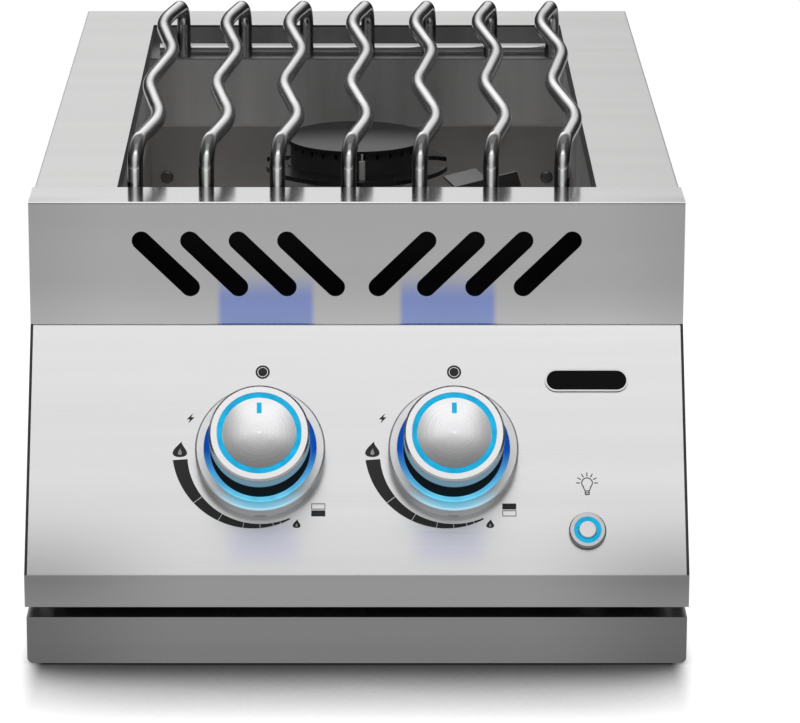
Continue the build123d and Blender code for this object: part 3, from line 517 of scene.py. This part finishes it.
def spun(name, colour, roughness, centre):
    """Metal turned about the panel's normal through a centre."""
    material, tree, bsdf = shader(name)
    arm = arm_from(tree, centre)
    around = vector_math(tree, "CROSS_PRODUCT", arm, panel_out)["Vector"]
    radius = vector_math(tree, "LENGTH", around)["Value"]
    turning = added(tree, "TexNoise", noise_dimensions="1D")
    fill_all(tree, turning, {"W": radius, "Scale": ring_scale})
    rings = turning.outputs["Fac"]
    looks = {
        "Metallic": 1.0,
        "Anisotropic": 0.6,
        "Base Color": between(tree, rings, shade(colour, 0.985), shade(colour, 1.01)),
        "Roughness": spread(tree, rings, roughness - 0.04, roughness + 0.04),
        "Tangent": arm,
    }
    fill_all(tree, bsdf, looks)
    relief(tree, bsdf, rings, 0.01, 0.00003)
    return material


def lit(name, colour):
    """Light-guide plastic that glows, a little unevenly."""
    material, tree, bsdf = shader(name)
    cloud = even_noise(tree, 160)
    looks = {
        "Roughness": 0.55,
        "Specular IOR Level": 0.25,
        "Base Color": shade(colour, 0.1),
        "Emission Strength": 1.0,
        "Emission Color": between(tree, cloud, shade(colour, 0.85), shade(colour, 1.15)),
    }
    fill_all(tree, bsdf, looks)
    return material


def lens(name, centre):
    """Light ring in a bezel: deep blue above, pale below where its lamp sits."""
    material, tree, bsdf = shader(name)
    up = distance_along(tree, centre, panel_up)
    glow = between(tree, up, lens_pale, lens_deep, -lens_fade, 0.0)
    cloud = between(tree, even_noise(tree, 140), (0.8, 0.8, 0.8), (1, 1, 1))
    reach = distance_along(tree, centre, panel_out)
    looks = {
        "Roughness": 0.25,
        "Base Color": lens_base,
        "Emission Color": mixed(tree, 1.0, glow, cloud, "MULTIPLY"),
        "Emission Strength": spread(tree, reach, 0.0, 1.0, *lens_foot),
    }
    fill_all(tree, bsdf, looks)
    return material


def bezel_metal(name, centre):
    """Bezel with painted light: a painted blue glow on its front below, and a painted reflection of the
    bright panel on its wall there.
    """
    material = plain_metal(name, (0.86, 0.86, 0.87), roughness=0.45, stain=0.05, grain=900)
    tree = material.node_tree
    up = distance_along(tree, centre, panel_up)
    front = eased(tree, distance_along(tree, centre, panel_out), *bezel_glow_out, 0.0, 1.0)
    looks = {
        # painted glow: the bezel metal emits light
        "Emission Strength": eased(tree, up, *bezel_glow_up, 1.0, 0.0),
        "Emission Color": mixed(tree, front, painted_wall_reflection, bezel_glow),
    }
    fill_all(tree, tree.nodes["Principled BSDF"], looks)
    return material


def knob_metal(name, centre):
    """Knob shell: bright front rim, a band with a painted blue glow, and a black skirt."""
    material, tree, bsdf = shader(name)
    reach = distance_along(tree, centre, panel_out)
    front = spread(tree, reach, 0.0, 1.0, *skirt_top)
    behind = spread(tree, front, 1.0, 0.0, 0.0, 1.0)
    band_height = eased(tree, reach, *band_foot, 0.0, 1.0)
    fine = even_noise(tree, 900, 3.0)
    skirt = between(tree, fine, (0.005, 0.005, 0.006), (0.010, 0.010, 0.011))
    rim = between(tree, fine, (0.62, 0.62, 0.63), (0.66, 0.66, 0.67))
    looks = {
        "Base Color": mixed(tree, front, skirt, rim),
        "Metallic": front,
        "Specular IOR Level": spread(tree, front, 0.08, 0.5, 0.0, 1.0),
        "Roughness": spread(tree, front, 0.8, 0.22, 0.0, 1.0),
        # painted glow: the band of the shell emits the blue light
        "Emission Strength": joined(tree, "MULTIPLY", band_height, behind),
        "Emission Color": painted_band_glow,
    }
    fill_all(tree, bsdf, looks)
    relief(tree, bsdf, fine, 0.015, 0.00002)
    return material


def rod_metal(name):
    """Polished rod with painted shade on its sides and on the bends towards the front, and a painted
    highlight down the front legs.
    """
    material = plain_metal(name, (0.97, 0.97, 0.975), roughness=0.14, stain=0.04, grain=900)
    tree = material.node_tree
    bsdf = tree.nodes["Principled BSDF"]
    plain = bsdf.inputs["Base Color"].links[0].from_socket
    normal = facing(tree)
    back = axes(tree, normal)[1]
    aside = axes(tree, vector_math(tree, "ABSOLUTE", normal)["Vector"])[0]
    # painted shade by the way the surface faces: sides and front-facing bends darker
    sides = eased(tree, aside, *rod_sides, 0.0, 1.0)
    turned = eased(tree, back, *rod_bend, 1.0, 0.0)
    unfaced = eased(tree, back, *rod_front, 0.0, 1.0)
    dark = joined(tree, "MAXIMUM", sides, joined(tree, "MULTIPLY", turned, unfaced))
    # painted highlight: a glowing line down the front legs
    core = eased(tree, aside, *rod_core, 1.0, 0.0)
    faced = eased(tree, back, *rod_front, 1.0, 0.0)
    near = eased(tree, distance_along(tree, ORIGIN, BACKWARDS), *rod_legs, 1.0, 0.0)
    looks = {
        "Base Color": mixed(tree, dark, plain, rod_painted_shade, "MULTIPLY"),
        "Emission Strength": joined(tree, "MULTIPLY", core, faced, near),
        "Emission Color": rod_painted_highlight,
    }
    fill_all(tree, bsdf, looks)
    return material


def cap_enamel_and_sheen(name, centre):
    """Cap enamel with a painted sheen: lighter on top towards the front."""
    material, tree, bsdf = shader(name)
    # painted sheen: top faces lighter towards the front
    near = eased(tree, distance_along(tree, centre, BACKWARDS), *cap_sheen_span, 1.0, 0.0)
    top = eased(tree, axes(tree, facing(tree))[2], *cap_top, 0.0, 1.0)
    fine = even_noise(tree, 800, 4.0, 0.6)
    looks = {
        "Specular IOR Level": 0.14,
        "Base Color": mixed(tree, joined(tree, "MULTIPLY", near, top), cap_dark, cap_bright),
        "Roughness": spread(tree, fine, 0.58, 0.72),
    }
    fill_all(tree, bsdf, looks)
    relief(tree, bsdf, fine, 0.15, 0.00004)
    return material


def ink(name, colour):
    """Screen-printed ink, matt with a fine grain."""
    return coated(name, colour, roughness=0.5, grain=1500, depth=0.00001)


# Finishes by slot, and those of nodes that have their own

finishes = {
    "dark_steel": coated(
        "dark_steel", (0.03, 0.03, 0.032), roughness=0.45, grain=700, depth=0.00003
    ),
    "plain_steel": plain_metal("plain_steel", (0.58, 0.57, 0.565), roughness=0.38),
    "screw_steel": plain_metal("screw_steel", (0.55, 0.55, 0.56), roughness=0.28),
    "galvanised_steel": galvanised("galvanised_steel", (0.56, 0.57, 0.58)),
    "black_enamel": coated(
        "black_enamel", (0.012, 0.012, 0.013), roughness=0.3, grain=500, depth=0.00004, coat=0.3
    ),
    "burner_iron": coated(
        "burner_iron", (0.035, 0.034, 0.033), roughness=0.5, grain=900, depth=0.0002
    ),
    "white_ceramic": coated(
        "white_ceramic", (0.58, 0.565, 0.54), roughness=0.22, grain=400, depth=0.00003, coat=0.4
    ),
    "brass": plain_metal("brass", (0.72, 0.52, 0.20), roughness=0.28),
    "tube_aluminium": plain_metal("tube_aluminium", (0.72, 0.72, 0.73), roughness=0.36),
    "valve_aluminium": plain_metal(
        "valve_aluminium", (0.62, 0.62, 0.63), roughness=0.45, stain=0.15, grain=700
    ),
    "stem_steel": plain_metal("stem_steel", (0.58, 0.58, 0.59), roughness=0.24),
    "bezel_metal": plain_metal(
        "bezel_metal", (0.72, 0.72, 0.73), roughness=0.36, stain=0.05, grain=900
    ),
    "knob_satin": plain_metal(
        "knob_satin", (0.66, 0.66, 0.67), roughness=0.3, stain=0.05, grain=900
    ),
    "black_plastic": coated(
        "black_plastic", (0.02, 0.02, 0.021), roughness=0.42, grain=1100, depth=0.00005
    ),
    "lead_rubber": coated(
        "lead_rubber", (0.32, 0.05, 0.035), roughness=0.5, grain=900, depth=0.00004
    ),
    "blue_light": lit("blue_light", (0.006, 0.40, 0.69)),
}
own_finishes = {
    "deck": brushed("deck_steel", (0.77, 0.77, 0.765), roughness=0.3, anisotropic=0.6),
    "front_fascia": brushed("fascia_steel", (0.75, 0.75, 0.755), roughness=0.15, anisotropic=0.6),
    # well walls: the strong vertical streaks are painted reflections of the rods
    "well_frame": plain_metal(
        "well_steel", (0.93, 0.915, 0.91), roughness=0.5, stain=0.42, blot=reflection_streak_scale
    ),
    "grid_rods": rod_metal("rod_steel"),
    "burner_pan": plain_metal("pan_steel", (0.56, 0.545, 0.535), roughness=0.42),
    # painted shade: crossbars a darker copy of the rod steel, for their place low in the well
    "grid_crossbars": plain_metal(
        "bar_steel", (0.48, 0.48, 0.485), roughness=0.14, stain=0.06, grain=900
    ),
    "pan_screws": plain_metal("screw_black", (0.2, 0.2, 0.2), roughness=0.35),
    "control_panel": brushed("panel_steel", (0.76, 0.76, 0.765), roughness=0.3, anisotropic=0.7),
    "heat_shield": coated(
        "shield_paint", (0.03, 0.03, 0.032), roughness=0.7, grain=600, depth=0.00003
    ),
    "button_housing": plain_metal(
        "button_metal", (0.46, 0.46, 0.47), roughness=0.22, stain=0.05, grain=900
    ),
    "drip_tray_front": brushed("tray_steel", (0.48, 0.48, 0.485), roughness=0.3, anisotropic=0.6),
    "igniter_guard": plain_metal("guard_steel", (0.24, 0.24, 0.245), roughness=0.4),
}
# painted light and shade laid on the finishes
for node, whole in width_light_and_shade.items():
    tinted(own_finishes[node], **whole)
for side, centre in knob_centres.items():
    turn = 1 if centre.x > 0 else -1
    # painted light and shade on this side
    for node, half_patch in side_light_and_shade:
        x, y, z = half_patch["middle"]
        tinted(own_finishes[node], **{**half_patch, "middle": (turn * x, y, z)})
    dome = spun(f"{side}_spun_steel", (0.72, 0.72, 0.73), 0.3, centre)
    own_finishes[f"{side}_knob_face"] = dome
    own_finishes[f"{side}_bezel_light"] = lens(f"{side}_lens", centre)
    own_finishes[f"{side}_bezel"] = bezel_metal(f"{side}_bezel_metal", centre)
    own_finishes[f"{side}_knob_shell"] = knob_metal(f"{side}_knob_metal", centre)
for node in ("front_burner_cap", "rear_burner_cap"):
    corners = [Vector(corner) for corner in nodes[node].bound_box]
    own_finishes[node] = cap_enamel_and_sheen(f"{node}_coat", sum(corners, Vector()) / len(corners))
for node, item in nodes.items():
    item.data.materials.clear()
    item.data.materials.append(own_finishes.get(node) or finishes[slots[node]])


# Outlines in millimetres, and how they are laid on the panel


def on_panel(x, up, lift):
    """Frame point from millimetres along the panel, from the middle of the knob line."""
    return knob_line + (panel_right * x + panel_up * up + panel_out * lift) * MM


def moved(outline, spot, lift=print_lift):
    """Outline set on the panel at a spot."""
    return [on_panel(spot[0] + x, spot[1] + up, lift) for x, up in outline]


def laid(name, faces, material, body="casing"):
    """Piece made of the given faces, each a list of frame points."""
    mesh = bpy.data.meshes.new(name)
    points = [point for outline in faces for point in outline]
    indices = []
    for outline in faces:
        start = sum(len(face) for face in indices)
        indices.append(list(range(start, start + len(outline))))
    mesh.from_pydata(points, [], indices)
    mesh.update()
    piece = bpy.data.objects.new(name, mesh)
    bpy.context.scene.collection.objects.link(piece)
    mesh.materials.append(material)
    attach(piece, body)


def polar(radius, degrees):
    """Point at a distance and an angle."""
    return (radius * cos(radians(degrees)), radius * sin(radians(degrees)))


def circle(radius, count=40):
    """Points round a circle."""
    return [polar(radius, 360 * i / count) for i in range(count)]


def band(outer, inner):
    """Quads between two outlines with the same number of points."""
    count = len(outer)
    return [
        [outer[i], outer[(i + 1) % count], inner[(i + 1) % count], inner[i]] for i in range(count)
    ]


def rectangle(width, height):
    """Corners of a rectangle about its middle."""
    return [
        (-width / 2, -height / 2),
        (width / 2, -height / 2),
        (width / 2, height / 2),
        (-width / 2, height / 2),
    ]


def flame(height, width, count=36):
    """Teardrop with a leaning tip."""
    points = []
    for i in range(count):
        turn = 2 * pi * i / count
        lean = flame_lean * height * max(0.0, cos(turn)) ** 2
        aside = flame_belly * width * sin(turn) * sin(turn / 2) ** 2
        points.append((aside + lean, height / 2 * cos(turn)))
    return points


def stadium(width, height, count=16):
    """Rectangle with round ends."""
    radius = height / 2
    points = []
    for end, first in ((1, -90), (-1, 90)):
        for i in range(count + 1):
            x, up = polar(radius, first + 180 * i / count)
            points.append((end * (width / 2 - radius) + x, up))
    return points


def stroke(start, end, width):
    """Thin straight line between two points, as four corners."""
    start, end = Vector(start), Vector(end)
    along = (end - start).normalized()
    aside = Vector((-along.y, along.x)) * width / 2
    return [tuple(start + aside), tuple(start - aside), tuple(end - aside), tuple(end + aside)]


# Printed marks, blank plate and pointers

black_ink = ink("black_ink", (0.015, 0.015, 0.016))
pale_ink = ink("pale_ink", (0.62, 0.62, 0.62))
plate_ink = ink("plate_ink", (0.004, 0.004, 0.004))
plate_ink.node_tree.nodes["Principled BSDF"].inputs["Specular IOR Level"].default_value = 0.1


def gauge_outlines():
    """Parts of the curved wedge from high to low, with thin gaps between them."""
    outlines = []
    gap = gauge_gap / gauge_r_in * 180 / pi / 2
    sweep = gauge_marks[-1] - gauge_marks[0]
    for first, last in zip(gauge_marks, gauge_marks[1:]):
        steps = max(2, int((last - first) / gauge_step))
        angles = [first + gap + (last - first - 2 * gap) * i / steps for i in range(steps + 1)]
        outline = [polar(gauge_r_in, angle) for angle in angles]
        for angle in reversed(angles):
            share = (angle - gauge_marks[0]) / sweep
            outline.append(polar(gauge_r_high + (gauge_r_low - gauge_r_high) * share, angle))
        outlines.append(outline)
    return outlines


def knob_marks(side, knob_x):
    """Marks around one knob."""

    def set_at(outline, place, lift=print_lift):
        """Outline set on the panel at a place from the knob's centre."""
        return moved(outline, (knob_x + place[0], place[1]), lift)

    off_faces = band(circle(off_mark_r), circle(off_mark_r - off_mark_line))
    off_faces.append(circle(off_dot_r))
    laid(f"{side}_off_mark", [set_at(face, off_mark_place) for face in off_faces], black_ink)
    laid(f"{side}_spark_mark", [set_at(bolt_outline, bolt_place)], black_ink)
    for label, (x, up), height in (
        ("high", high_flame_place, high_flame_h),
        ("low", polar(low_flame_r, low_flame_angle), low_flame_h),
    ):
        outer = flame(height, flame_w * height)
        laid(f"{side}_{label}_flame", [set_at(outer, (x, up))], black_ink)
        heart = flame(heart_h * height, heart_w * height)
        heart_place = (x, up - heart_drop * height)
        heart_face = set_at(heart, heart_place, heart_lift * print_lift)
        laid(f"{side}_{label}_flame_heart", [heart_face], pale_ink)
    gauge = [set_at(outline, (0, 0)) for outline in gauge_outlines()]
    laid(f"{side}_gauge", gauge, black_ink)
    box = rectangle(which_w, which_h)
    box_inside = rectangle(which_w - 2 * which_line, which_h - 2 * which_line)
    boxes = []
    for row, filled in ((-1, side == "left"), (1, side == "right")):
        box_place = (which_x[side], which_up + row * (which_h + which_gap) / 2)
        box_faces = [box] if filled else band(box, box_inside)
        boxes += [set_at(face, box_place) for face in box_faces]
    laid(f"{side}_burner_mark", boxes, black_ink)


def lamp_mark():
    """Bulb with neck, socket lines and rays."""
    middle = Vector((0, bulb_up))
    faces = [
        [(x, up + bulb_up) for x, up in face]
        for face in band(circle(bulb_r), circle(bulb_r - bulb_line))
        if min(up for x, up in face) > -bulb_open * bulb_r
    ]
    neck_up = bulb_up - neck_drop * bulb_r
    foot_up = neck_up - neck_h
    for turn in (-1, 1):
        top = (turn * neck_top, neck_up)
        foot = (turn * neck_foot, foot_up)
        faces.append(stroke(top, foot, bulb_line))
        faces.append(stroke(foot, (turn * neck_foot, foot_up - socket_h), bulb_line))
    for row in range(socket_lines):
        level = foot_up - row * socket_h / (socket_lines - 1)
        faces.append(stroke((-neck_foot, level), (neck_foot, level), bulb_line))
    for i in range(bulb_rays):
        along = Vector(polar(1, 180 * i / (bulb_rays - 1)))
        faces.append(stroke(middle + along * ray_from, middle + along * ray_to, bulb_line))
    laid("bulb_mark", [moved(face, bulb_place) for face in faces], black_ink)


def blank_plate():
    """Dark plate in a bright rim, with dark sides."""
    edge = stadium(plate_w, plate_h)
    inner = stadium(plate_w - 2 * plate_rim, plate_h - 2 * plate_rim)
    foot = moved(edge, plate_place, 0.0)
    top = moved(edge, plate_place, plate_t)
    laid("plate_edge", band(foot, top), finishes["dark_steel"])
    laid("plate_rim", band(top, moved(inner, plate_place, plate_t)), finishes["bezel_metal"])
    laid("plate_face", [moved(inner, plate_place, plate_sunk * plate_t)], plate_ink)


def pointer(side, knob_x):
    """Bar that follows the dome of one knob."""
    strips = []
    length = pointer_to - pointer_from
    for i in range(pointer_steps):
        start = pointer_from + length * i / pointer_steps
        end = pointer_from + length * (i + 1) / pointer_steps
        corners = []
        for up, turn in ((start, -1), (start, 1), (end, 1), (end, -1)):
            lift = dome_front + dome_rise * (1 - (up / dome_r) ** 2) + 2 * print_lift
            corners.append(on_panel(knob_x + turn * pointer_w / 2, up, lift))
        strips.append(corners)
    laid(f"{side}_pointer", strips, finishes["blue_light"], f"{side}_knob")


for side, centre in knob_centres.items():
    knob_marks(side, centre.x / MM)
lamp_mark()
blank_plate()
for side, centre in knob_centres.items():
    pointer(side, centre.x / MM)


# Floor, world, lights and camera


def stage_floor():
    """Pale floor, white to the camera, that keeps the object's shadow and is seen in the metal."""
    mesh = bpy.data.meshes.new("floor")
    corners = [(-1, -1, 0), (1, -1, 0), (1, 1, 0), (-1, 1, 0)]
    mesh.from_pydata([Vector(corner) * floor_half for corner in corners], [], [(0, 1, 2, 3)])
    floor = bpy.data.objects.new("floor", mesh)
    bpy.context.scene.collection.objects.link(floor)
    material, tree, bsdf = shader("floor")
    path = added(tree, "LightPath").outputs
    direct = path["Is Camera Ray"]
    mirrored = joined(tree, "MAXIMUM", path["Is Glossy Ray"], path["Is Transmission Ray"])

    # Shadow near the object, only for the camera and fainter beside the object
    open_sky = added(tree, "AmbientOcclusion", samples=shadow_samples)
    fill(tree, open_sky.inputs["Distance"], shadow_reach)
    shadow = joined(tree, "POWER", open_sky.outputs["AO"], shadow_depth)
    share = spread(tree, block(tree, **shadow_block), shadow_outside, 1.0, 0.0, 1.0)
    kept = added(tree, "Mix")
    fill(tree, kept.inputs[MIX_FACTOR], joined(tree, "MULTIPLY", share, direct))
    for place, number in zip(MIX_NUMBERS, (1.0, shadow)):
        fill(tree, kept.inputs[place], number)
    lift = kept.outputs[MIX_NUMBER]

    # Bright in front of the object and dark behind it
    back = axes(tree, frame_place(tree))[1]
    front = eased(tree, back, *floor_darkens, 1.0, 0.0)
    tone = (floor_tone, floor_tone, floor_tone)
    dimmed = joined(tree, "MULTIPLY", mirrored, front)
    shown = joined(tree, "MAXIMUM", direct, spread(tree, dimmed, 0.0, floor_mirrored, 0.0, 1.0))
    looks = {
        "Roughness": floor_rough,
        "Specular IOR Level": 0.0,
        "Base Color": mixed(tree, joined(tree, "MULTIPLY", lift, front), (0, 0, 0), tone),
        "Emission Color": (1, 1, 1),
        "Emission Strength": joined(tree, "MULTIPLY", shown, lift),
    }
    fill_all(tree, bsdf, looks)
    mesh.materials.append(material)


def studio_world():
    """Soft surround: a bright wall behind, a soft ceiling, a dim front; white to the camera."""
    world = bpy.data.worlds.new("studio")
    bpy.context.scene.world = world
    world.use_nodes = True
    tree = world.node_tree
    x, y, z = axes(tree, added(tree, "TexCoord").outputs["Generated"])
    behind = eased(tree, y, *wall_y, 0.0, wall_level)
    above = eased(tree, z, *wall_z, 0.0, 1.0)
    across = eased(tree, x, *wall_x, 1.0, wall_right)
    wall = joined(tree, "MULTIPLY", behind, above, across)
    ceiling = eased(tree, z, 0.0, 1.0, dim_level, ceiling_level)
    direct = added(tree, "LightPath").outputs["Is Camera Ray"]
    level = joined(tree, "MAXIMUM", wall, ceiling, direct)
    fill_all(tree, tree.nodes["Background"], {"Color": (1, 1, 1), "Strength": level})


def soft_light(name, stand, aim, width, height, power):
    """Rectangular soft box aimed at a point."""
    lamp = bpy.data.lights.new(name, "AREA")
    lamp.shape = "RECTANGLE"
    lamp.size = width
    lamp.size_y = height
    lamp.energy = power
    item = bpy.data.objects.new(name, lamp)
    item.location = stand
    item.rotation_euler = (Vector(aim) - Vector(stand)).to_track_quat("-Z", "Y").to_euler()
    bpy.context.scene.collection.objects.link(item)


stage_floor()
studio_world()
soft_light("key", **key_light)
soft_light("top", **top_light)

camera = bpy.data.cameras.new("camera")
camera.lens = camera_lens
camera.sensor_width = camera_sensor
camera.sensor_fit = "HORIZONTAL"
camera.shift_x = camera_shift_x
viewer = bpy.data.objects.new("camera", camera)
viewer.location = camera_place
viewer.rotation_euler = (pi / 2 - camera_pitch, 0.0, 0.0)
bpy.context.scene.collection.objects.link(viewer)
bpy.context.scene.camera = viewer
bpy.context.scene.view_settings.view_transform = "Standard"
